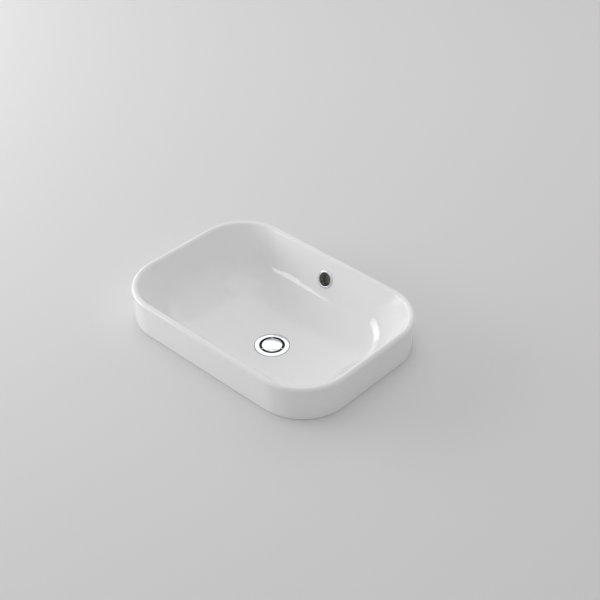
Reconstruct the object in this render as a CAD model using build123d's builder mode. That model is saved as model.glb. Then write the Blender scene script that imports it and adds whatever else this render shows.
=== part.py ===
from build123d import *
import os
from math import asin, atan, cos, degrees, pi, radians, sin, sqrt, tan

# Inset wash basin of glazed ceramic, with an overflow and a click plug waste.
# Millimetres. The origin is the centre of the footprint on the bench top, X runs along the
# basin, +Y points to its back and +Z up. The bowl and the waste hang below the bench top.

# Ceramic basin, outside
basin_length = 500.0
basin_depth = 354.0
corner_radius = 100.0
rim_height = 71.0
foot_inset = 3.7            # how far the skirt leans in at the bench
foot_round = 2.0
cut_margin = 2.0            # how far a cutting shape runs past the face it cuts
skirt_wall = 11.0
trench_height = 30.0        # roof of the open trench between skirt and bowl
rim_round = 6.5
rim_flat = 0.3

# Ceramic basin, bowl
wall_lean = 22.0            # degrees from vertical
floor_z = -43.0             # lowest point of the bowl floor, at the waste
floor_radius = 1800.0       # the floor is a very shallow dish
floor_corner = 100.0
side_run = 4.0              # straight run that the corners leave on a side, at least
blend_radius = 95.0
blend_overrun = 2.0         # how far the blend may pass the gasket's foot, as it is flat there
bowl_wall = 9.0

# Overflow way in the ceramic
overflow_drop = 40.0        # centre of the hole, below the rim
overflow_hole = 14.9        # radius
duct_depth = 8.0
duct_width = 36.0
duct_wall = 8.0
duct_bend = 90.0
duct_back_wall = 6.0
duct_rise = 19.0            # how far the duct runs past the overflow's centre
housing_height = 22.0       # where the duct's housing leaves the solid rim
chamber_radius = 29.0
chamber_height = 13.0
chamber_roof = 5.0
duct_step = 1.0             # the duct enters the chamber this far below its roof

# Outlet in the ceramic
boss_radius = 38.0
boss_drop = 45.0            # below the bowl floor
boss_round = 3.0
outlet_radius = 23.0
outlet_chamfer = 1.2
recess_gap = 1.0
recess_round = 0.9

# Waste body
flange_proud = 1.0
flange_radius = 33.0
flange_edge = 1.6
flange_crown = 0.7
flange_round = 0.5
seat_angle = 36.0           # cone under the flange, degrees from level
dish_radius = 24.5
dish_depth = 3.2
dish_draw = 1.3
dish_cone = 4.8
tube_radius = 20.95
tube_bore = 18.75
tail_length = 92.0
tail_chamfer = 1.0
relief_width = 1.5
relief_depth = 0.8
relief_gap = 1.2            # between the backnut and the thread relief
window_width = 14.0
window_height = 9.0
window_round = 3.0
hub_drop = 42.0             # top of the hub below the flange
hub_radius = 9.5
hub_height = 7.0
arm_width = 3.0
arm_count = 3
arm_angle = 30.0            # degrees, first arm
arm_bite = 0.8              # how far an arm runs into the tube's wall

# Seals, washers and nut of the waste
seal_thickness = 1.2
seal_inner = 26.0
seal_outer = 32.0
fit_gap = 0.05
thread_gap = 0.1
washer_radius = 31.0
washer_thickness = 5.0
nose_height = 3.5
nose_gap = 0.3
nose_draft = 0.8
slip_radius = 30.0
slip_thickness = 1.6
backnut_flats = 54.0
backnut_height = 10.0
backnut_chamfer = 1.0

# Click cartridge
cartridge_radius = 9.0
cartridge_bore = 6.8
cartridge_length = 31.5
cartridge_lid = 3.0
cartridge_bevel = 1.0
base_radius = 7.8
base_height = 3.0
stub_radius = 4.95
stub_floor = 2.0
stub_end = 1.0              # length of stub left below its nut
cartridge_nut_flats = 16.0
cartridge_nut_height = 4.0
small_nut_bevel = 0.3
spindle_radius = 3.0
spindle_tail = 11.0         # length guided below the base's top
running_gap = 0.06
collar_gap = 0.1
collar_height = 3.0
collar_play = 0.3           # left above the collar with the plug fully up
tooth_count = 8
tooth_height = 0.8
tooth_width = 1.6
tooth_gap = 0.3
tooth_root = 0.15           # depth of a tooth's root in its ring
index_radius = 5.2
index_height = 3.0
cam_radius = 6.2
cam_width = 2.0
cam_count = 4
wire_radius = 0.45
coil_radius = 4.4
coil_turns = 6
wiper_radius = 5.0
wiper_height = 1.2

# Plug
plug_travel = 8.0
cap_radius = 19.5
cap_rise = 1.8
cap_edge = 2.2
cap_round = 0.7
lug_count = 3
lug_angle = 14.0            # degrees, first lug
lug_width = 1.6
lug_height = 1.3
lug_drop = 0.9
lug_gap = 0.5
cap_boss_radius = 6.0
cap_boss_height = 2.4
carrier_radius = 17.0
carrier_web = 15.0
carrier_plate = 1.1
carrier_foot = 17.4
carrier_height = 4.8
plug_seal_lip = 0.15        # clearance to the dish's cone
plug_seal_bevel = 1.5
locknut_flats = 10.0
locknut_height = 2.4

# Overflow trim
ring_radius = 17.25
ring_bore = 13.5
ring_proud = 2.2
ring_round = 1.2
ring_inner_round = 0.8
barrel_radius = 14.7
barrel_tail = 2.4           # past the back of the bowl's wall
barb_radius = 15.4
barb_height = 1.5
slit_width = 2.0
slit_count = 4
slit_angle = 45.0           # degrees, first slit
slit_land = 2.0             # whole barrel left under the lip
gasket_thickness = 0.6
gasket_radius = 16.8

# Derived heights and sizes
overflow_height = rim_height - overflow_drop
skirt_lean = degrees(atan(foot_inset / rim_height))
lean_tan = tan(radians(wall_lean))
lean_cos = cos(radians(wall_lean))
lean_sin = sin(radians(wall_lean))
round_out = rim_round * tan(radians((90 + skirt_lean) / 2))
round_in = rim_round * tan(radians((90 - wall_lean) / 2))
edge_out = round_out - rim_round        # the sharp top edge lies this far outside the length
rim_inset = round_out + round_in + rim_flat - edge_out
boss_bottom = floor_z - boss_drop

flange_z = floor_z + flange_proud
seat_tan = tan(radians(seat_angle))
seal_drop = seal_thickness / cos(radians(seat_angle))
recess_radius = flange_radius + recess_gap
dish_low = dish_radius - dish_draw
dish_low_z = flange_z - dish_depth
bore_top_z = dish_low_z - dish_cone
tail_z = flange_z - tail_length
seat_foot_z = flange_z - flange_edge - seal_drop - (flange_radius - outlet_radius) * seat_tan
chamber_z = seat_foot_z - chamber_roof
duct_z = chamber_z - duct_step - duct_depth / 2
backnut_top = boss_bottom - washer_thickness - slip_thickness
backnut_bottom = backnut_top - backnut_height

hub_z = flange_z - hub_drop
cartridge_top = hub_z + cartridge_length
base_top = hub_z + base_height
cartridge_nut_z = hub_z - hub_height - cartridge_nut_height
stub_bottom = cartridge_nut_z - stub_end
lid_z = cartridge_top - cartridge_lid
collar_radius = cartridge_bore - collar_gap
collar_top = lid_z - plug_travel - collar_play
collar_bottom = collar_top - collar_height
index_top = collar_bottom - 2 * tooth_height - tooth_gap
index_bottom = index_top - index_height

cap_under = flange_z - cap_edge
boss_under = cap_under - cap_boss_height
carrier_bottom = cap_under - carrier_height
spindle_top = cap_under - fit_gap
shaft_hole = spindle_radius + running_gap


def back_wall_y(height, out=0.0):
    """Y of the bowl's back wall at a height, moved outwards along its normal."""
    return basin_depth / 2 - rim_inset - (rim_height - height) * lean_tan + out / lean_cos


def seat_z(radius):
    """Height of the flange's underside cone at a radius."""
    return flange_z - flange_edge - (flange_radius - radius) * seat_tan


def blend_room():
    """Largest blend of wall and floor that leaves the wall flat behind the gasket."""
    foot_y = back_wall_y(floor_z)
    foot_z = floor_z + floor_radius - sqrt(floor_radius**2 - foot_y**2)
    turn = radians(90 - wall_lean) - asin(foot_y / floor_radius)
    gasket_foot = overflow_height - gasket_radius * lean_cos
    return ((gasket_foot - foot_z) / lean_cos + blend_overrun) / tan(turn / 2)


def bowl_solid(out, top):
    """The bowl's space from its floor up to a height, grown outwards by a wall."""
    deep = floor_z - out - cut_margin
    with BuildPart() as bowl:
        for height in (top, deep):
            inset = rim_inset + (rim_height - height) * lean_tan - out / lean_cos
            share = (rim_height - height) / (rim_height - floor_z)
            corner = (corner_radius - rim_inset) * (1 - share) + floor_corner * share
            corner_room = min(basin_length, basin_depth) / 2 - inset - side_run
            with BuildSketch(Plane.XY.offset(height)):
                RectangleRounded(
                    basin_length - 2 * inset,
                    basin_depth - 2 * inset,
                    min(corner + out / lean_cos, corner_room),
                )
        loft(ruled=True)
        dish_centre = Plane(
            origin=(0, 0, floor_z + floor_radius), x_dir=(0, 0, 1), z_dir=(0, 1, 0)
        )
        with Locations(dish_centre):
            Sphere(floor_radius + out, mode=Mode.INTERSECT)
        blend = min(blend_radius, blend_room())
        fillet(bowl.faces().sort_by(Axis.Z)[0].edges(), radius=blend + out)
    return bowl.part


def skirt_outline(inset):
    """Rounded rectangle of the sharp foot, moved inwards."""
    shift = 2 * (edge_out - foot_inset - inset)
    RectangleRounded(
        basin_length + shift, basin_depth + shift, corner_radius + shift / 2
    )


def duct_band(top, thickness, width):
    """The overflow's way down the back of the bowl and in under its floor."""
    set_out = bowl_wall + duct_depth / 2
    with BuildPart() as band:
        with BuildSketch(Plane.YZ):
            with BuildLine():
                FilletPolyline(
                    (back_wall_y(top, set_out), top),
                    (back_wall_y(duct_z, set_out), duct_z),
                    (outlet_radius, duct_z),
                    radius=duct_bend,
                )
            trace(line_width=thickness)
        extrude(amount=width / 2, both=True)
    return band.part


def saw_teeth(base, height, inner, outer, upwards):
    """Ring of saw teeth on a level face, added to the part being built."""
    step = 1 if upwards else -1
    for number in range(tooth_count):
        turn = 2 * pi * number / tooth_count
        outward = (cos(turn), sin(turn), 0)
        along = (-sin(turn), cos(turn), 0)
        start = Plane(
            origin=(inner * cos(turn), inner * sin(turn), base), x_dir=along, z_dir=outward
        )
        with BuildSketch(start) as tooth:
            with BuildLine():
                Polyline(
                    (-tooth_width / 2, 0),
                    (tooth_width / 2, 0),
                    (tooth_width / 2, step * height),
                    close=True,
                )
            make_face()
        extrude(tooth.sketch, amount=outer - inner)


def ring(outer, inner, bottom, height):
    """Plain flat ring, standing on a height."""
    with BuildPart() as piece:
        with BuildSketch(Plane.XY.offset(bottom)):
            Circle(outer)
            Circle(inner, mode=Mode.SUBTRACT)
        extrude(amount=height)
    return piece


def hex_nut(flats, hole, bottom, height, edge):
    """Hexagon nut with both its outer corners bevelled."""
    with BuildPart() as nut:
        with BuildSketch(Plane.XY.offset(bottom)):
            RegularPolygon(radius=flats / 2, side_count=6, major_radius=False)
            Circle(hole, mode=Mode.SUBTRACT)
        extrude(amount=height)
        corner = flats / 2 / cos(pi / 6)
        with BuildSketch(Plane.XZ):
            with BuildLine():
                Polyline(
                    (0, bottom),
                    (corner - edge, bottom),
                    (corner, bottom + edge),
                    (corner, bottom + height - edge),
                    (corner - edge, bottom + height),
                    (0, bottom + height),
                    close=True,
                )
            make_face()
        revolve(axis=Axis.Z, mode=Mode.INTERSECT)
    return nut


def turned(*points):
    """Piece turned about the Z axis from its half section, given as radius and height."""
    with BuildPart() as piece:
        with BuildSketch(Plane.XZ):
            with BuildLine():
                Polyline(*points, close=True)
            make_face()
        revolve(axis=Axis.Z)
    return piece


def write(piece, name):
    """Label a finished piece and write it to its own file."""
    piece.part.label = name
    export_step(piece.part, f"parts/{name}.step")


os.makedirs("parts", exist_ok=True)

# Overflow plane: on the bowl's back wall, facing into the bowl
overflow_plane = Plane(
    origin=(0, back_wall_y(overflow_height), overflow_height),
    x_dir=(1, 0, 0),
    z_dir=(0, -lean_cos, lean_sin),
)

# The duct's own space, kept clear of the skirt's back face
duct_top = overflow_height + duct_rise * lean_cos
with BuildPart() as duct_space:
    add(duct_band(duct_top, duct_depth, duct_width))
    with BuildSketch(Plane.XY.offset(duct_z - duct_depth)):
        skirt_outline(duct_back_wall)
    extrude(amount=rim_height - duct_z, mode=Mode.INTERSECT)

# The duct's housing under the basin, with its long edges rounded
with BuildPart() as duct_housing:
    add(duct_band(housing_height, duct_depth + 2 * duct_wall, duct_width + 2 * duct_wall))
    fillet(duct_housing.faces().filter_by(Axis.X).edges(), radius=duct_wall / 2)

# The outlet's space: recess, seat, bore and overflow chamber
outlet_space = turned(
    (0, floor_z + flange_crown + cut_margin),
    (recess_radius, floor_z + flange_crown + cut_margin),
    (recess_radius, seat_z(recess_radius) - seal_drop),
    (outlet_radius, seat_z(outlet_radius) - seal_drop),
    (outlet_radius, chamber_z),
    (chamber_radius, chamber_z),
    (chamber_radius, chamber_z - chamber_height),
    (outlet_radius, chamber_z - chamber_height),
    (outlet_radius, boss_bottom - cut_margin),
    (0, boss_bottom - cut_margin),
)

# Basin body: skirt, rim, bowl, duct housing and outlet boss, fired as one piece
with BuildPart() as basin_body:
    with BuildSketch(Plane.XY):
        skirt_outline(0)
    extrude(amount=rim_height, taper=-skirt_lean)
    with BuildSketch(Plane.XY):
        skirt_outline(skirt_wall)
    extrude(amount=trench_height, taper=-skirt_lean, mode=Mode.SUBTRACT)
    add(bowl_solid(bowl_wall, trench_height + cut_margin))
    add(duct_housing.part)
    with BuildSketch(Plane.XY.offset(boss_bottom)):
        Circle(boss_radius)
    extrude(amount=boss_drop - bowl_wall / 2)
    add(bowl_solid(0, rim_height + cut_margin), mode=Mode.SUBTRACT)
    add(duct_space.part, mode=Mode.SUBTRACT)
    add(outlet_space.part, mode=Mode.SUBTRACT)
    with BuildSketch(overflow_plane.offset(-bowl_wall - duct_depth / 2)):
        Circle(overflow_hole)
    extrude(amount=2 * bowl_wall, mode=Mode.SUBTRACT)
    rim_edges = basin_body.edges().filter_by_position(
        Axis.Z, rim_height - fit_gap, rim_height + fit_gap
    )
    fillet(rim_edges, radius=rim_round)
    recess_edges = basin_body.edges().filter_by(GeomType.CIRCLE).filter_by_position(
        Axis.Z, floor_z, floor_z + flange_crown
    )
    fillet(recess_edges, radius=recess_round)
    foot = basin_body.faces().filter_by(Plane.XY).filter_by_position(Axis.Z, -fit_gap, fit_gap)
    fillet(foot[0].outer_wire().edges(), radius=foot_round)
    land = basin_body.faces().sort_by(Axis.Z)[0]
    fillet(land.outer_wire().edges(), radius=boss_round)
    chamfer(land.inner_wires().edges(), length=outlet_chamfer)
write(basin_body, "basin_body")
print("basin body", round(basin_body.part.volume), basin_body.part.is_valid)

# Waste body: flange, dish and threaded tube, with overflow windows and a three-armed hub
relief_z = backnut_bottom - relief_gap
with BuildPart() as waste_body:
    with BuildSketch(Plane.XZ):
        with BuildLine():
            Polyline(
                (dish_radius, flange_z),
                (flange_radius, flange_z - flange_crown),
                (flange_radius, flange_z - flange_edge),
                (tube_radius, seat_z(tube_radius)),
                (tube_radius, relief_z),
                (tube_radius - relief_depth, relief_z),
                (tube_radius - relief_depth, relief_z - relief_width),
                (tube_radius, relief_z - relief_width),
                (tube_radius, tail_z + tail_chamfer),
                (tube_radius - tail_chamfer, tail_z),
                (tube_bore, tail_z),
                (tube_bore, bore_top_z),
                (dish_low, dish_low_z),
                close=True,
            )
        make_face()
    revolve(axis=Axis.Z)
    top_edges = waste_body.edges().filter_by(GeomType.CIRCLE).group_by(Axis.Z)
    fillet(top_edges[-1] + top_edges[-2], radius=flange_round)
    window_z = chamber_z - chamber_height / 2
    for side in (Plane.YZ, Plane.XZ):
        with BuildSketch(side):
            with Locations((0, window_z)):
                RectangleRounded(window_width, window_height, window_round)
        extrude(amount=flange_radius, both=True, mode=Mode.SUBTRACT)
    with BuildSketch(Plane.XY.offset(hub_z - hub_height)):
        Circle(hub_radius)
        arm_length = tube_bore + arm_bite - hub_radius / 2
        with PolarLocations(hub_radius / 2, arm_count, start_angle=arm_angle):
            Rectangle(arm_length, arm_width, align=(Align.MIN, Align.CENTER))
        Circle(stub_radius + thread_gap, mode=Mode.SUBTRACT)
    extrude(amount=hub_height)
write(waste_body, "waste_body")

# Flange seal: conical rubber ring between the flange and the ceramic seat
flange_seal = turned(
    (seal_outer, seat_z(seal_outer) - fit_gap),
    (seal_outer, seat_z(seal_outer) - seal_drop + fit_gap),
    (seal_inner, seat_z(seal_inner) - seal_drop + fit_gap),
    (seal_inner, seat_z(seal_inner) - fit_gap),
)
write(flange_seal, "flange_seal")

# Cone washer: rubber, its nose in the outlet and its face on the ceramic land
nose_radius = outlet_radius - nose_gap
cone_washer = turned(
    (tube_radius + thread_gap, boss_bottom + nose_height),
    (nose_radius - nose_draft, boss_bottom + nose_height),
    (nose_radius, boss_bottom),
    (washer_radius, boss_bottom),
    (washer_radius - nose_draft, boss_bottom - washer_thickness),
    (tube_radius + thread_gap, boss_bottom - washer_thickness),
)
write(cone_washer, "cone_washer")

# Slip washer: hard plastic ring that lets the nut turn under the rubber
slip_washer = ring(slip_radius, tube_radius + thread_gap, backnut_top, slip_thickness)
write(slip_washer, "slip_washer")

# Backnut: brass hexagon that clamps the waste to the ceramic
backnut = hex_nut(
    backnut_flats, tube_radius + thread_gap, backnut_bottom, backnut_height, backnut_chamfer
)
write(backnut, "backnut")

# Cartridge housing: a cup, closed at its top but for the spindle's hole
cartridge_housing = turned(
    (base_radius + fit_gap, hub_z),
    (cartridge_radius, hub_z),
    (cartridge_radius, cartridge_top - cartridge_bevel),
    (cartridge_radius - cartridge_bevel, cartridge_top),
    (wiper_radius + fit_gap, cartridge_top),
    (wiper_radius + fit_gap, cartridge_top - wiper_height),
    (shaft_hole, cartridge_top - wiper_height),
    (shaft_hole, lid_z),
    (cartridge_bore, lid_z),
    (cartridge_bore, base_top),
    (base_radius + fit_gap, base_top),
)
write(cartridge_housing, "cartridge_housing")

# Cartridge base: closes the housing, and its stub goes down through the hub
cartridge_base = turned(
    (shaft_hole, base_top),
    (base_radius, base_top),
    (base_radius, hub_z),
    (stub_radius, hub_z),
    (stub_radius, stub_bottom),
    (0, stub_bottom),
    (0, stub_bottom + stub_floor),
    (shaft_hole, stub_bottom + stub_floor),
)
write(cartridge_base, "cartridge_base")

# Cartridge nut: holds the stub under the hub
cartridge_nut = hex_nut(
    cartridge_nut_flats,
    stub_radius + thread_gap,
    cartridge_nut_z,
    cartridge_nut_height,
    small_nut_bevel,
)
write(cartridge_nut, "cartridge_nut")

# Spindle wiper: rubber ring that keeps grit out of the spindle's hole
spindle_wiper = ring(wiper_radius, shaft_hole, cartridge_top - wiper_height, wiper_height)
write(spindle_wiper, "spindle_wiper")


def coil_point(turns):
    """Point and unit direction on the spring's helix after a number of turns."""
    angle = 2 * pi * turns
    place = Vector(
        coil_radius * cos(angle), coil_radius * sin(angle), coil_start + coil_pitch * turns
    )
    heading = Vector(
        -coil_radius * sin(angle), coil_radius * cos(angle), coil_pitch / (2 * pi)
    ).normalized()
    return place, heading


# Cartridge spring: round wire on a helix, each quarter turn as two tangent arcs
coil_start = base_top + wire_radius + fit_gap
coil_pitch = (index_bottom - wire_radius - fit_gap - coil_start) / coil_turns
coil_gap = coil_pitch * cos(atan(coil_pitch / (2 * pi * coil_radius))) - 2 * wire_radius
print("spring: gap between turns", round(coil_gap, 2))
with BuildPart() as cartridge_spring:
    with BuildLine() as coil:
        for quarter in range(4 * coil_turns):
            first, first_way = coil_point(quarter / 4)
            last, last_way = coil_point((quarter + 1) / 4)
            chord = last - first
            ways = first_way + last_way
            spread = 2 * (1 - first_way.dot(last_way))
            reach = (
                -chord.dot(ways) + sqrt(chord.dot(ways) ** 2 + spread * chord.dot(chord))
            ) / spread
            first_bend = first + first_way * reach
            last_bend = last - last_way * reach
            middle = (first_bend + last_bend) / 2
            TangentArc(first, middle, tangent=first_way)
            TangentArc(middle, last, tangent=last_bend - first_bend)
    helix = coil.wire()
    with BuildSketch(Plane(origin=helix @ 0, z_dir=helix % 0)):
        Circle(wire_radius)
    sweep(path=helix)
write(cartridge_spring, "cartridge_spring")

# Index ring: turns half a tooth at each press; its cams latch the plug down
with BuildPart() as index_ring:
    with BuildSketch(Plane.XY.offset(index_bottom)):
        Circle(index_radius)
        cam_foot = index_radius - cam_width / 2
        with PolarLocations(cam_foot, cam_count):
            Rectangle(cam_radius - cam_foot, cam_width, align=(Align.MIN, Align.CENTER))
        Circle(shaft_hole, mode=Mode.SUBTRACT)
    extrude(amount=index_height)
    saw_teeth(
        index_top - tooth_root,
        tooth_height + tooth_root,
        shaft_hole + tooth_gap,
        index_radius,
        True,
    )
write(index_ring, "index_ring")

# Spindle: carries the plug, with a toothed collar inside the housing
with BuildPart() as spindle:
    with BuildSketch(Plane.XY.offset(base_top - spindle_tail)):
        Circle(spindle_radius)
    extrude(amount=spindle_top - base_top + spindle_tail)
    with BuildSketch(Plane.XY.offset(collar_bottom)):
        Circle(collar_radius)
    extrude(amount=collar_height)
    saw_teeth(collar_bottom, tooth_height, spindle_radius + tooth_gap, index_radius, False)
write(spindle, "spindle")

# Plug cap: shallow chromed dome with a threaded boss and three guide lugs
with BuildPart() as plug_cap:
    with BuildSketch(Plane.XZ):
        with BuildLine():
            dome = ThreePointArc(
                (-cap_radius, flange_z), (0, flange_z + cap_rise), (cap_radius, flange_z)
            )
            Polyline(
                dome @ 1,
                (cap_radius, cap_under),
                (cap_boss_radius, cap_under),
                (cap_boss_radius, boss_under),
                (spindle_radius + thread_gap, boss_under),
                (spindle_radius + thread_gap, cap_under),
                (-cap_radius, cap_under),
                dome @ 0,
            )
        make_face()
        split(bisect_by=Plane.YZ, keep=Keep.TOP)
    revolve(axis=Axis.Z)
    cap_edges = plug_cap.edges().filter_by(GeomType.CIRCLE).sort_by(SortBy.RADIUS)
    fillet(cap_edges[-2:], radius=cap_round)
    lug_z = flange_z - lug_drop - lug_height
    lug_reach = dish_radius - dish_draw * (lug_drop + lug_height) / dish_depth - lug_gap
    with BuildSketch(Plane.XY.offset(lug_z)):
        with PolarLocations(cap_radius - cap_round, lug_count, start_angle=lug_angle):
            Rectangle(
                lug_reach - cap_radius + cap_round, lug_width, align=(Align.MIN, Align.CENTER)
            )
    extrude(amount=lug_height)
write(plug_cap, "plug_cap")

# Seal carrier: plastic bobbin under the cap, with a groove for the plug's seal
carrier_z = cap_under - carrier_plate
seal_carrier = turned(
    (cap_boss_radius + thread_gap, cap_under),
    (carrier_radius, cap_under),
    (carrier_radius, carrier_z),
    (carrier_web, carrier_z),
    (carrier_web, carrier_bottom + carrier_plate),
    (carrier_foot, carrier_bottom + carrier_plate),
    (carrier_foot, carrier_bottom),
    (spindle_radius + thread_gap, carrier_bottom),
    (spindle_radius + thread_gap, boss_under - fit_gap),
    (cap_boss_radius + thread_gap, boss_under - fit_gap),
)
write(seal_carrier, "seal_carrier")


def dish_cone_radius(height):
    """Radius of the dish's lower cone at a height."""
    return tube_bore + (dish_low - tube_bore) * (height - bore_top_z) / dish_cone


# Plug seal: rubber ring in the carrier's groove, its bevel on the dish's cone
seal_top = carrier_z - fit_gap
seal_bottom = carrier_bottom + carrier_plate + fit_gap
lip_gap = plug_seal_lip / cos(atan((dish_low - tube_bore) / dish_cone))
bevel_top = seal_bottom + plug_seal_bevel / 2
plug_seal = turned(
    (carrier_web + fit_gap, seal_bottom),
    (dish_cone_radius(seal_bottom) - lip_gap - plug_seal_bevel, seal_bottom),
    (dish_cone_radius(bevel_top) - lip_gap, bevel_top),
    (dish_cone_radius(seal_top) - lip_gap, seal_top),
    (carrier_web + fit_gap, seal_top),
)
write(plug_seal, "plug_seal")

# Plug locknut: holds the cap and the carrier at their height on the spindle
plug_locknut = hex_nut(
    locknut_flats,
    spindle_radius + thread_gap / 2,
    carrier_bottom - locknut_height,
    locknut_height,
    small_nut_bevel,
)
write(plug_locknut, "plug_locknut")

# Overflow ring: chromed lip with a slit and barbed barrel through the ceramic
with BuildPart() as overflow_ring:
    with BuildSketch(overflow_plane.offset(gasket_thickness)):
        Circle(ring_radius)
    extrude(amount=ring_proud - gasket_thickness)
    lip_edges = overflow_ring.edges().sort_by(Axis(overflow_plane.origin, overflow_plane.z_dir))
    fillet(lip_edges[-1], radius=ring_round)
    barrel_length = bowl_wall + barrel_tail
    with BuildSketch(overflow_plane.offset(-barrel_length)):
        Circle(barrel_radius)
    extrude(amount=barrel_length + ring_proud / 2)
    with BuildSketch(overflow_plane.offset(-barrel_length)):
        Circle(barb_radius)
    extrude(amount=barb_height)
    with BuildSketch(overflow_plane.offset(-barrel_length)):
        Circle(ring_bore)
    extrude(amount=barrel_length + ring_proud, mode=Mode.SUBTRACT)
    mouth = overflow_ring.edges().filter_by(GeomType.CIRCLE)
    mouth = mouth.sort_by(Axis(overflow_plane.origin, overflow_plane.z_dir))[-2:]
    fillet(mouth.sort_by(SortBy.RADIUS)[0], radius=ring_inner_round)
    with BuildSketch(overflow_plane.offset(-barrel_length)):
        with PolarLocations(0, slit_count, start_angle=slit_angle):
            Rectangle(barb_radius + cut_margin, slit_width, align=(Align.MIN, Align.CENTER))
    extrude(amount=barrel_length - slit_land, mode=Mode.SUBTRACT)
write(overflow_ring, "overflow_ring")

# Overflow gasket: thin foam ring under the lip
with BuildPart() as overflow_gasket:
    with BuildSketch(overflow_plane):
        Circle(gasket_radius)
        Circle(barrel_radius + thread_gap, mode=Mode.SUBTRACT)
    extrude(amount=gasket_thickness)
write(overflow_gasket, "overflow_gasket")
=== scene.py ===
# %% [markdown]
# # An inset wash basin
# A glazed ceramic bowl is set into a top. Its skirt and rim stand above the top's face, and the
# bowl and the plug waste hang below. The hard parts and the way they move come from the packed
# model, in metres: X along the basin, +Y to its back, +Z up, with the skirt's foot at zero. This
# script adds the finishes, the small details, the light and the camera.

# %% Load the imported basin
from math import cos, pi, radians, sin, tan

import bmesh
import bpy
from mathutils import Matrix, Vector


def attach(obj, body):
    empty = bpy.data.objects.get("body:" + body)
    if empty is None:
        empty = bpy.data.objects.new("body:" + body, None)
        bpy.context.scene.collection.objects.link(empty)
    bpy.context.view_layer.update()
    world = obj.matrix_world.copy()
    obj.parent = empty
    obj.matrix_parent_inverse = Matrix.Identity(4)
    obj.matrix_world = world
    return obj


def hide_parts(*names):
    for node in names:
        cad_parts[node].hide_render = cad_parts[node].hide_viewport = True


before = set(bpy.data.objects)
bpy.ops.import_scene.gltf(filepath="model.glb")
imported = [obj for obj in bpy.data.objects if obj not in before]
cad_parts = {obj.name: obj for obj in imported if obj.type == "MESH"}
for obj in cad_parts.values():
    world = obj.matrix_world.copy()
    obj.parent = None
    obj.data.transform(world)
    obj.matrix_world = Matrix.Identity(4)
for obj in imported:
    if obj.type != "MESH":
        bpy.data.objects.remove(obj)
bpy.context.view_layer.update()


# %% [markdown]
# ## Three small tools for materials
# Paint charts and photographs give colours in sRGB, while a shader works with linear light. One
# function turns a hex value into a linear colour. Another adds a node, sets its inputs and joins
# its links in one line, so that each material below reads as a short recipe. The third starts a
# new material with its shader.

# %% Colour, node and material helpers
def paint(hex_value):
    """Linear colour from an sRGB hex value."""
    channels = [int(hex_value[i:i + 2], 16) / 255 for i in (0, 2, 4)]
    linear = [c / 12.92 if c <= 0.04045 else ((c + 0.055) / 1.055) ** 2.4 for c in channels]
    return (*linear, 1.0)


def node(tree, kind, settings=None, **inputs):
    """Add a node. Settings are its properties, inputs are values or the sockets that feed it."""
    new = tree.nodes.new(kind)
    for name, value in (settings or {}).items():
        setattr(new, name, value)
    for name, value in inputs.items():
        key = int(name[1:]) if name[0] == "i" and name[1:].isdigit() else name.replace("_", " ")
        if isinstance(value, bpy.types.NodeSocket):
            tree.links.new(value, new.inputs[key])
        else:
            new.inputs[key].default_value = value
    return new


def finish_of(name):
    """New material, its node tree, its shader and the socket of its Object coordinates."""
    material = bpy.data.materials.new(name)
    material.use_nodes = True
    tree = material.node_tree
    tree.nodes.clear()
    shader = tree.nodes.new("ShaderNodeBsdfPrincipled")
    output = tree.nodes.new("ShaderNodeOutputMaterial")
    tree.links.new(shader.outputs["BSDF"], output.inputs["Surface"])
    place = tree.nodes.new("ShaderNodeTexCoord").outputs["Object"]
    return material, tree, shader, place


print("white paint:", [round(c, 3) for c in paint("FFFFFF")])


# %% [markdown]
# ## The camera
# The basin is seen from its front right, from above. The camera was solved from the outline of the
# basin in the photo: a long lens a good two metres away, aimed at no special point and without any
# shift.

# %% Camera
below_level, turned_left = 37.257, 42.85
camera = bpy.data.objects.new("studio_camera", bpy.data.cameras.new("studio_camera"))
camera.data.lens = 75.94
camera.data.sensor_width = 36.0
camera.data.clip_start = 0.01
camera.location = (1.30286, -1.32659, 1.47828)
camera.rotation_euler = (radians(90 - below_level), 0, radians(turned_left))
bpy.context.scene.collection.objects.link(camera)
bpy.context.scene.camera = camera
print("camera at", tuple(round(c, 3) for c in camera.location))


# %% [markdown]
# ## The sheet round the basin
# The basin needs something to sit in, so a plain pale sheet stands in for the top that it is made
# for. A whole sheet would lie across the bowl, so it gets the cut-out that such a top has: a
# rounded rectangle a little inside the skirt, where its edge isn't seen from above. One ring of
# edges is extruded outwards to make the sheet, which leaves the hole open. The sheet lies 0.2 mm
# under the basin's foot, the bed of sealant, because two faces in one plane flicker.

# %% Sheet with its cut-out
def rounded_loop(mesh, length, depth, height, corner, steps):
    """Closed loop of edges: a rounded rectangle at a height."""
    corners = [mesh.verts.new((x * length / 2, y * depth / 2, height))
               for x, y in ((-1, -1), (1, -1), (1, 1), (-1, 1))]
    mesh.faces.new(corners)
    bmesh.ops.bevel(mesh, geom=corners, offset=corner, offset_type="OFFSET", affect="VERTICES",
                    segments=steps, profile=0.5, material=-1)
    bmesh.ops.delete(mesh, geom=mesh.faces[:], context="FACES_ONLY")
    return mesh.edges[:]


def finished(name, mesh, material):
    """Object at the origin from a finished bmesh."""
    data = bpy.data.meshes.new(name)
    mesh.to_mesh(data)
    mesh.free()
    thing = bpy.data.objects.new(name, data)
    thing.data.materials.append(material)
    bpy.context.scene.collection.objects.link(thing)
    return thing


grain_mm = 4.167
sheet_finish, tree, shader, place = finish_of("solid_surface_sheet_satin")
grain = node(tree, "ShaderNodeTexNoise", Vector=place, Scale=1000 / grain_mm, Detail=3.0)
tone = node(tree, "ShaderNodeMixRGB", Fac=grain.outputs["Fac"], Color1=paint("E2E2E2"),
            Color2=paint("E5E5E5"))
tree.links.new(tone.outputs["Color"], shader.inputs["Base Color"])
shader.inputs["Roughness"].default_value = 0.6

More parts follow.
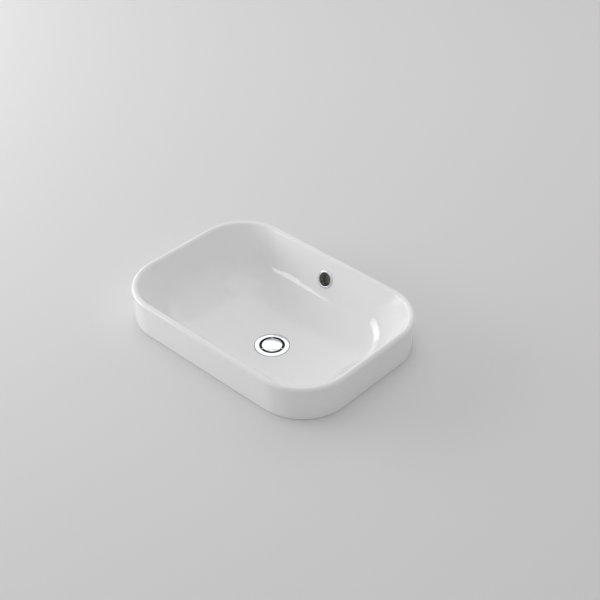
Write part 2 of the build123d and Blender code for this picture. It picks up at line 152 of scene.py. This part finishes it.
times_wider = 60            # the sheet against its cut-out, so that it runs out of view
cut_out = bmesh.new()
edge = rounded_loop(cut_out, length=0.460, depth=0.314, height=-0.0002, corner=0.082, steps=12)
spread = bmesh.ops.extrude_edge_only(cut_out, edges=edge)
outer = [v for v in spread["geom"] if isinstance(v, bmesh.types.BMVert)]
bmesh.ops.scale(cut_out, vec=(times_wider, times_wider, 1), verts=outer)
bmesh.ops.recalc_face_normals(cut_out, faces=cut_out.faces)
sheet = finished("bench_sheet", cut_out, sheet_finish)
if sheet.data.polygons[0].normal.z < 0:
    sheet.data.flip_normals()
print("sheet:", len(sheet.data.polygons), "faces")


# %% [markdown]
# ## The light
# White ware shows its form only where one side is darker than the other. So a low panel stands on
# the left like a window, with a longer and weaker one behind it, which makes the soft shadow on the
# right. A scrim overhead and a weak panel at the back fill the bowl, and one at the back left gives
# the chrome something to mirror. They are large and near, so a glossy bowl mirrors them as faint
# soft patches. Each was rendered alone first, and their levels were then fitted together to the
# greys of the photo. After that the two left panels came down by 8%, because the left face went to
# pure white.
#
# The pale world lights the basin at a little under half strength. Rays that look straight at it or
# come off a mirror see a white ceiling that falls to pale grey at the horizon, so that the plated
# parts stand in a white room and the bowl's walls mirror no hard edge between the rim and the sky.

# %% Softboxes and the pale world
def softbox(name, azimuth, elevation, wide, high, power, reach=2.4):
    """Rectangular area light that looks at the basin from an azimuth (0 is +Y, 90 is +X)."""
    light = bpy.data.objects.new(name, bpy.data.lights.new(name, "AREA"))
    light.data.shape = "RECTANGLE"
    light.data.size = wide
    light.data.size_y = high
    light.data.energy = power
    way = Vector((sin(radians(azimuth)) * cos(radians(elevation)),
                  cos(radians(azimuth)) * cos(radians(elevation)), sin(radians(elevation))))
    light.location = way * reach
    light.rotation_euler = way.to_track_quat("Z", "Y").to_euler()
    bpy.context.scene.collection.objects.link(light)


softbox("left_window_softbox", azimuth=-120, elevation=15, wide=2.0, high=0.8, power=19.0)
softbox("left_fill_softbox", azimuth=-100, elevation=14, wide=3.0, high=0.9, power=11.5)
softbox("overhead_softbox", azimuth=0, elevation=88, wide=2.4, high=2.0, power=10.1)
softbox("back_softbox", azimuth=0, elevation=30, wide=2.0, high=1.0, power=2.7)
softbox("chrome_softbox", azimuth=-48, elevation=38, wide=1.6, high=1.4, power=3.3)

world = bpy.data.worlds.new("pale_studio")
world.use_nodes = True
sky = world.node_tree
ray = node(sky, "ShaderNodeLightPath")
mirrored = node(sky, "ShaderNodeMath", {"operation": "MAXIMUM"}, i0=ray.outputs["Is Glossy Ray"],
                i1=ray.outputs["Is Transmission Ray"])
looked_at = node(sky, "ShaderNodeMath", {"operation": "MAXIMUM"}, i0=ray.outputs["Is Camera Ray"],
                 i1=mirrored.outputs["Value"])
way_up = node(sky, "ShaderNodeSeparateXYZ",
              Vector=node(sky, "ShaderNodeTexCoord").outputs["Generated"])
horizon = node(sky, "ShaderNodeMapRange", {"interpolation_type": "SMOOTHSTEP"},
               Value=way_up.outputs["Z"], From_Min=0.0, From_Max=0.6, To_Min=0.6, To_Max=1.0)
world_level = node(sky, "ShaderNodeMapRange", Value=looked_at.outputs["Value"], To_Min=0.44,
                   To_Max=horizon.outputs["Result"])
background = sky.nodes["Background"]
background.inputs["Color"].default_value = paint("FFFFFF")
sky.links.new(world_level.outputs["Result"], background.inputs["Strength"])
bpy.context.scene.world = world
bpy.context.scene.view_settings.view_transform = "Standard"


# %% [markdown]
# ## Glazed china
# The basin is vitreous china: a slip-cast clay body, sprayed with an opaque white glaze and fired.
# The melted glaze is a clear glass over a white ground, so it is very smooth, with an index near
# 1.5, and it keeps a faint long wave where it ran before it set. Noise of 30 mm gives that wave,
# about 0.05 mm high, and noise of 4 mm the orange peel, about 0.003 mm high.
#
# The outside of the hanging bowl gets a thinner coat, which is a little creamy and satin. The foot
# and the land under the outlet are wiped bare, so that they don't stick in the kiln. The duct of
# the overflow is too narrow for the spray gun, so it keeps bare clay. The clay itself would be
# paler: its darker grey there is painted shade for the dim inside of the duct, chosen to match
# the dark mouth of the overflow in the photo.
#
# Masks tell the coats apart by where the surface is and which way it faces. The duct's own follows
# the lean of the back wall, so that it stays between the two walls.

# %% Masks for the thin coat, the bare clay and the duct
trench_roof = 0.030         # top of the open trench between the skirt and the bowl
bowl_floor = -0.043         # lowest point of the bowl
outlet_land = -0.088        # flat face under the outlet
wiped_band = 0.0006         # a face this near to a wiped height is bare
wall_lean = radians(22.0)
duct_middle, duct_half_depth = 0.1480, 0.0085       # along Y, at the height of the foot
duct_height, duct_half_height = 0.0255, 0.0215
duct_half_width = 0.0185

china, tree, shader, place = finish_of("vitreous_china_glazed")
parts = node(tree, "ShaderNodeSeparateXYZ", Vector=place)
facing = node(tree, "ShaderNodeSeparateXYZ",
              Vector=node(tree, "ShaderNodeTexCoord").outputs["Normal"])
hanging = node(tree, "ShaderNodeMapRange", Value=facing.outputs["Z"], From_Min=-0.12,
               From_Max=-0.30)
inboard = node(tree, "ShaderNodeMapRange", Value=parts.outputs["Z"],
               From_Min=trench_roof + 0.0035, From_Max=trench_roof + 0.0015)
below = node(tree, "ShaderNodeMath", {"operation": "MULTIPLY"}, i0=hanging.outputs["Result"],
             i1=inboard.outputs["Result"])
under_floor = node(tree, "ShaderNodeMapRange", Value=parts.outputs["Z"],
                   From_Min=bowl_floor - 0.003, From_Max=bowl_floor - 0.004)
thin_coat = node(tree, "ShaderNodeMath", {"operation": "MAXIMUM"}, i0=below.outputs["Value"],
                 i1=under_floor.outputs["Result"])
flat_down = node(tree, "ShaderNodeMapRange", Value=facing.outputs["Z"], From_Min=-0.96,
                 From_Max=-0.99)
foot = node(tree, "ShaderNodeMath", {"operation": "COMPARE"}, i0=parts.outputs["Z"], i1=0.0,
            i2=wiped_band)
land = node(tree, "ShaderNodeMath", {"operation": "COMPARE"}, i0=parts.outputs["Z"],
            i1=outlet_land, i2=wiped_band)
wiped_height = node(tree, "ShaderNodeMath", {"operation": "MAXIMUM"}, i0=foot.outputs["Value"],
                    i1=land.outputs["Value"])
bare = node(tree, "ShaderNodeMath", {"operation": "MULTIPLY"}, i0=flat_down.outputs["Result"],
            i1=wiped_height.outputs["Value"])
# The duct's mask: bare clay there, with its grey darkened as painted shade.
lean = node(tree, "ShaderNodeMath", {"operation": "MULTIPLY_ADD"}, i0=parts.outputs["Z"],
            i1=-tan(wall_lean), i2=parts.outputs["Y"])
in_duct = node(tree, "ShaderNodeMath", {"operation": "COMPARE"}, i0=lean.outputs["Value"],
               i1=duct_middle, i2=duct_half_depth)
for value, middle, half in ((parts.outputs["X"], 0.0, duct_half_width),
                            (parts.outputs["Z"], duct_height, duct_half_height)):
    slab = node(tree, "ShaderNodeMath", {"operation": "COMPARE"}, i0=value, i1=middle, i2=half)
    in_duct = node(tree, "ShaderNodeMath", {"operation": "MULTIPLY"},
                   i0=in_duct.outputs["Value"], i1=slab.outputs["Value"])
print("china masks:", len(tree.nodes), "nodes")

# %% China finish
run_mm, peel_mm, patch_mm, speck_mm = 30.0, 4.0, 26.0, 1.1
glaze_rough, satin_rough, clay_rough = 0.06, 0.30, 0.75
patch = node(tree, "ShaderNodeTexNoise", Vector=place, Scale=1000 / patch_mm, Detail=4.0)
speck = node(tree, "ShaderNodeTexNoise", Vector=place, Scale=1000 / speck_mm, Detail=2.0)
glaze_tone = node(tree, "ShaderNodeMixRGB", Fac=patch.outputs["Fac"], Color1=paint("F3F3F3"),
                  Color2=paint("F6F6F6"))
thin_tone = node(tree, "ShaderNodeMixRGB", Fac=patch.outputs["Fac"], Color1=paint("EDECE8"),
                 Color2=paint("F2F1EE"))
clay_tone = node(tree, "ShaderNodeMixRGB", Fac=speck.outputs["Fac"], Color1=paint("D3CCBF"),
                 Color2=paint("E0DACE"))
coated = node(tree, "ShaderNodeMixRGB", Fac=thin_coat.outputs["Value"],
              Color1=glaze_tone.outputs["Color"], Color2=thin_tone.outputs["Color"])
wiped = node(tree, "ShaderNodeMixRGB", Fac=bare.outputs["Value"],
             Color1=coated.outputs["Color"], Color2=clay_tone.outputs["Color"])
# Painted shade: inside the duct the clay takes a dark grey for the dim inside of the duct.
body_tone = node(tree, "ShaderNodeMixRGB", Fac=in_duct.outputs["Value"],
                 Color1=wiped.outputs["Color"], Color2=paint("8B8882"))
tree.links.new(body_tone.outputs["Color"], shader.inputs["Base Color"])
satin = node(tree, "ShaderNodeMapRange", Value=thin_coat.outputs["Value"], To_Min=glaze_rough,
             To_Max=satin_rough)
unglazed = node(tree, "ShaderNodeMath", {"operation": "MAXIMUM"}, i0=bare.outputs["Value"],
                i1=in_duct.outputs["Value"])
matt = node(tree, "ShaderNodeMapRange", Value=unglazed.outputs["Value"],
            To_Min=satin.outputs["Result"], To_Max=clay_rough)
tree.links.new(matt.outputs["Result"], shader.inputs["Roughness"])
run = node(tree, "ShaderNodeTexNoise", Vector=place, Scale=1000 / run_mm, Detail=1.0)
peel = node(tree, "ShaderNodeTexNoise", Vector=place, Scale=1000 / peel_mm, Detail=1.0)
wave = node(tree, "ShaderNodeBump", Strength=0.05, Distance=0.001, Height=run.outputs["Fac"])
skin = node(tree, "ShaderNodeBump", Strength=0.015, Distance=0.0002, Height=peel.outputs["Fac"],
            Normal=wave.outputs["Normal"])
tree.links.new(skin.outputs["Normal"], shader.inputs["Normal"])
shader.inputs["IOR"].default_value = 1.5
print("china:", len(tree.nodes), "nodes")


# %% [markdown]
# ## Chrome plate
# The waste and its plug are brass, polished and plated with nickel and chromium. Chromium is a
# slightly blue grey metal, and the polish leaves only hairlines, so it is nearly a mirror. The
# overflow ring is moulded plastic with the same plate over a softer ground, which waves more. The
# haze of the hairlines would be too fine to see, so it is drawn coarser than it really is.

# %% Chrome on brass, and chrome on plastic
haze_mm, swell_mm = 2.381, 7.143


def chrome_plate(name, colour, roughness, ripple):
    """Plated finish. Ripple is the share of 0.2 mm that the ground under the plate waves."""
    plate, tree, shader, place = finish_of(name)
    haze = node(tree, "ShaderNodeTexNoise", Vector=place, Scale=1000 / haze_mm, Detail=3.0)
    rough = node(tree, "ShaderNodeMapRange", Value=haze.outputs["Fac"], To_Min=roughness * 0.7,
                 To_Max=roughness * 1.5)
    tree.links.new(rough.outputs["Result"], shader.inputs["Roughness"])
    tint = node(tree, "ShaderNodeMixRGB", Fac=haze.outputs["Fac"], Color1=paint(colour),
                Color2=paint("DDDFE2"))
    tree.links.new(tint.outputs["Color"], shader.inputs["Base Color"])
    swell = node(tree, "ShaderNodeTexNoise", Vector=place, Scale=1000 / swell_mm, Detail=1.0)
    bump = node(tree, "ShaderNodeBump", Strength=ripple, Distance=0.0002,
                Height=swell.outputs["Fac"])
    tree.links.new(bump.outputs["Normal"], shader.inputs["Normal"])
    shader.inputs["Metallic"].default_value = 1.0
    return plate


brass_chrome = chrome_plate("chrome_plated_brass_polished", "D9DBDF", 0.06, 0.03)
plastic_chrome = chrome_plate("chrome_plated_abs_moulded", "E6E8EB", 0.08, 0.06)
print("chrome finishes ready")


# %% [markdown]
# ## Painted shade in the throat of the waste
# In the photo the gap round the plug reads as a dark ring, the shade deep in the gap. A real waste
# is usually plated there too, but plain chrome came out too bright, so the inside of the waste
# round
# the plug is painted dark and dull: painted shade, which was chosen to match the photo. A mask by
# radius and height keeps it off the flange above and off the thread below.

# %% Waste finish with painted shade in its throat
def about_axis(tree, place):
    """Distance from the waste's axis, and height, as two sockets."""
    parts = node(tree, "ShaderNodeSeparateXYZ", Vector=place)
    flat = node(tree, "ShaderNodeCombineXYZ", X=parts.outputs["X"], Y=parts.outputs["Y"])
    radius = node(tree, "ShaderNodeVectorMath", {"operation": "LENGTH"}, i0=flat.outputs["Vector"])
    return radius.outputs["Value"], parts.outputs["Z"]


throat_radius, throat_fade = 0.0247, 0.0251     # full inside the first, gone outside the second
throat_top, throat_end = -0.0425, -0.0565
waste_chrome = chrome_plate("chrome_plated_brass_painted_shade_throat", "D9DBDF", 0.06, 0.03)
tree = waste_chrome.node_tree
shader = tree.nodes["Principled BSDF"]
radius, height = about_axis(tree, node(tree, "ShaderNodeTexCoord").outputs["Object"])
inside = node(tree, "ShaderNodeMapRange", Value=radius, From_Min=throat_fade,
              From_Max=throat_radius)
deep = node(tree, "ShaderNodeMath", {"operation": "COMPARE"}, i0=height,
            i1=(throat_top + throat_end) / 2, i2=(throat_top - throat_end) / 2)
throat = node(tree, "ShaderNodeMath", {"operation": "MULTIPLY"}, i0=inside.outputs["Result"],
              i1=deep.outputs["Value"])
# Painted shade: the throat's colour goes to a dull near black.
dark = node(tree, "ShaderNodeMixRGB", Fac=throat.outputs["Value"],
            Color1=shader.inputs["Base Color"].links[0].from_socket, Color2=paint("2E2E30"))
tree.links.new(dark.outputs["Color"], shader.inputs["Base Color"])
dull = node(tree, "ShaderNodeMapRange", Value=throat.outputs["Value"],
            To_Min=shader.inputs["Roughness"].links[0].from_socket, To_Max=0.45)
tree.links.new(dull.outputs["Result"], shader.inputs["Roughness"])
print("throat:", len(tree.nodes), "nodes")


# %% [markdown]
# ## Rubber, foam and plastics
# Nitrile rubber is dull black with a dusty bloom. Closed-cell foam shows its cells. Acetal and
# nylon are moulded, so they carry the fine spark-eroded texture of the mould. Most of these
# textures are finer on the real pieces, and are drawn coarse enough to show.

# %% Plain moulded finishes
def moulded(name, dark, light, roughness, texture_mm, depth, ior=1.5):
    """Finish of a moulded part. Depth is the share of 0.3 mm that its texture goes in."""
    mottle = 0.08
    material, tree, shader, place = finish_of(name)
    cells = node(tree, "ShaderNodeTexNoise", Vector=place, Scale=1000 / texture_mm, Detail=3.0)
    tone = node(tree, "ShaderNodeMixRGB", Fac=cells.outputs["Fac"], Color1=paint(dark),
                Color2=paint(light))
    tree.links.new(tone.outputs["Color"], shader.inputs["Base Color"])
    rough = node(tree, "ShaderNodeMapRange", Value=cells.outputs["Fac"],
                 To_Min=roughness - mottle, To_Max=roughness + mottle)
    tree.links.new(rough.outputs["Result"], shader.inputs["Roughness"])
    bump = node(tree, "ShaderNodeBump", Strength=depth, Distance=0.0003,
                Height=cells.outputs["Fac"])
    tree.links.new(bump.outputs["Normal"], shader.inputs["Normal"])
    shader.inputs["IOR"].default_value = ior
    return material


nitrile = moulded("nitrile_rubber_black", "131313", "2A2A2B", 0.62, 0.8, 0.25)
foam = moulded("eva_foam_closed_cell", "4A4A4C", "66666A", 0.85, 0.5, 0.6)
acetal = moulded("acetal_moulded_grey", "55585C", "63666A", 0.42, 0.7, 0.12, 1.48)
nylon = moulded("nylon_moulded_natural", "DAD8CF", "E6E4DC", 0.45, 0.7, 0.12, 1.53)
print("moulded finishes ready")


# %% [markdown]
# ## Brass and spring wire
# The nuts and the spindle are turned from bar, so the cutter leaves rings about their axis. The
# rings are waves of the cutter's feed, set by the distance from the axis and by the height. The
# wire of the spring is drawn, not turned, and borrows the same fine lines.

# %% Turned brass and drawn wire
smear_mm = 6.25


def turned_metal(name, colour, second, roughness, pitch_mm):
    """Metal with the lathe's fine rings about the Z axis."""
    material, tree, shader, place = finish_of(name)
    radius, height = about_axis(tree, place)
    path = node(tree, "ShaderNodeMath", {"operation": "ADD"}, i0=radius, i1=height)
    turns = node(tree, "ShaderNodeMath", {"operation": "MULTIPLY"}, i0=path.outputs["Value"],
                 i1=2 * pi * 1000 / pitch_mm)
    rings = node(tree, "ShaderNodeMath", {"operation": "SINE"}, i0=turns.outputs["Value"])
    smear = node(tree, "ShaderNodeTexNoise", Vector=place, Scale=1000 / smear_mm, Detail=4.0)
    tone = node(tree, "ShaderNodeMixRGB", Fac=smear.outputs["Fac"], Color1=paint(colour),
                Color2=paint(second))
    tree.links.new(tone.outputs["Color"], shader.inputs["Base Color"])
    rough = node(tree, "ShaderNodeMapRange", Value=smear.outputs["Fac"],
                 To_Min=roughness * 0.8, To_Max=roughness * 1.3)
    tree.links.new(rough.outputs["Result"], shader.inputs["Roughness"])
    bump = node(tree, "ShaderNodeBump", Strength=0.2, Distance=0.00003,
                Height=rings.outputs["Value"])
    tree.links.new(bump.outputs["Normal"], shader.inputs["Normal"])
    shader.inputs["Metallic"].default_value = 1.0
    return material


brass = turned_metal("brass_turned_bright", "D2B26A", "B8964E", 0.28, 0.4)
wire = turned_metal("stainless_wire_drawn", "B9BBBC", "9FA2A4", 0.3, 0.3)
print("metals ready")


# %% [markdown]
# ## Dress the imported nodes
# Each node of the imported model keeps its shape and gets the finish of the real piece.

# %% Give each node its finish
finishes = {
    "basin_body": china,
    "overflow_ring": plastic_chrome, "overflow_gasket": foam,
    "waste_body": waste_chrome, "plug_cap": brass_chrome,
    "flange_seal": nitrile, "cone_washer": nitrile, "spindle_wiper": nitrile, "plug_seal": nitrile,
    "slip_washer": nylon, "seal_carrier": acetal, "cartridge_housing": acetal,
    "index_ring": acetal,
    "backnut": brass, "cartridge_base": brass, "cartridge_nut": brass, "spindle": brass,
    "plug_locknut": brass,
    "cartridge_spring": wire,
}
for name, finish in finishes.items():
    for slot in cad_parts[name].material_slots:
        slot.material = finish
print("dressed", len(finishes), "nodes")


# %% [markdown]
# ## The thread on the tail
# The trap's nut screws on the waste's tail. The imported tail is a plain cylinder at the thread's
# outer size, because a thread is a costly solid that no check needs. Seen from below it is one of
# the waste's main features, so here it is cut for real: the tail's wall goes in to the root, and a
# ridge with the flanks of a 1 1/4 inch pipe thread winds round it, 11 turns to the inch. The ridge
# is one small profile, spun about the axis and lowered a little at every step.

# %% Turn the tail down to the root of the thread
thread_pitch = 0.0254 / 11
thread_crest = 0.02095
thread_root = 0.01955
thread_top = -0.1073
thread_end = -0.1330
groove_height = 0.0016                  # the relief groove above the thread goes in as well
groove_radius = thread_crest - 0.0004   # what lies nearer to the axis than this is in the groove
height_slack = 0.0001
tail = bmesh.new()
tail.from_mesh(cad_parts["waste_body"].data)
bmesh.ops.remove_doubles(tail, verts=tail.verts, dist=1e-6)
for vert in tail.verts:
    reach = vert.co.xy.length
    threaded = vert.co.z < thread_top + height_slack
    grooved = vert.co.z < thread_top + groove_height and reach < groove_radius
    if reach > thread_root and (threaded or grooved):
        vert.co.x *= thread_root / reach
        vert.co.y *= thread_root / reach
print("tail turned down:", len(tail.verts), "vertices")

# %% Wind the ridge round it
flank = thread_pitch * 0.42             # half the width of the ridge's foot
crest_flat = thread_pitch * 0.11        # half the width of its crest
ridge_foot = thread_root - 0.0003       # the foot sinks into the tail
crest_edge = thread_crest - 0.0002      # the crest is slightly crowned
steps_per_turn = 40
ridge = bmesh.new()
profile = [ridge.verts.new((r, 0, z)) for r, z in (
    (ridge_foot, -flank), (crest_edge, -crest_flat), (thread_crest, 0),
    (crest_edge, crest_flat), (ridge_foot, flank))]
face = ridge.faces.new(profile)
bmesh.ops.translate(ridge, vec=(0, 0, thread_top), verts=ridge.verts)
turns = (thread_top - thread_end - flank) / thread_pitch
steps = round(turns * steps_per_turn)
bmesh.ops.spin(ridge, geom=[face, *face.verts, *face.edges], cent=(0, 0, 0), axis=(0, 0, 1),
               dvec=(0, 0, -turns * thread_pitch / steps), angle=2 * pi * turns, steps=steps,
               use_merge=False, use_duplicate=False)
bmesh.ops.recalc_face_normals(ridge, faces=ridge.faces)
ridge_data = bpy.data.meshes.new("thread_ridge")
ridge.to_mesh(ridge_data)
ridge.free()
tail.from_mesh(ridge_data)
waste = finished("waste_body_threaded", tail, waste_chrome)
waste.data.shade_smooth()
waste.data.set_sharp_from_angle(angle=radians(28))
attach(waste, "basin")
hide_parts("waste_body")
print("thread:", round(turns, 1), "turns,", len(waste.data.polygons), "faces")
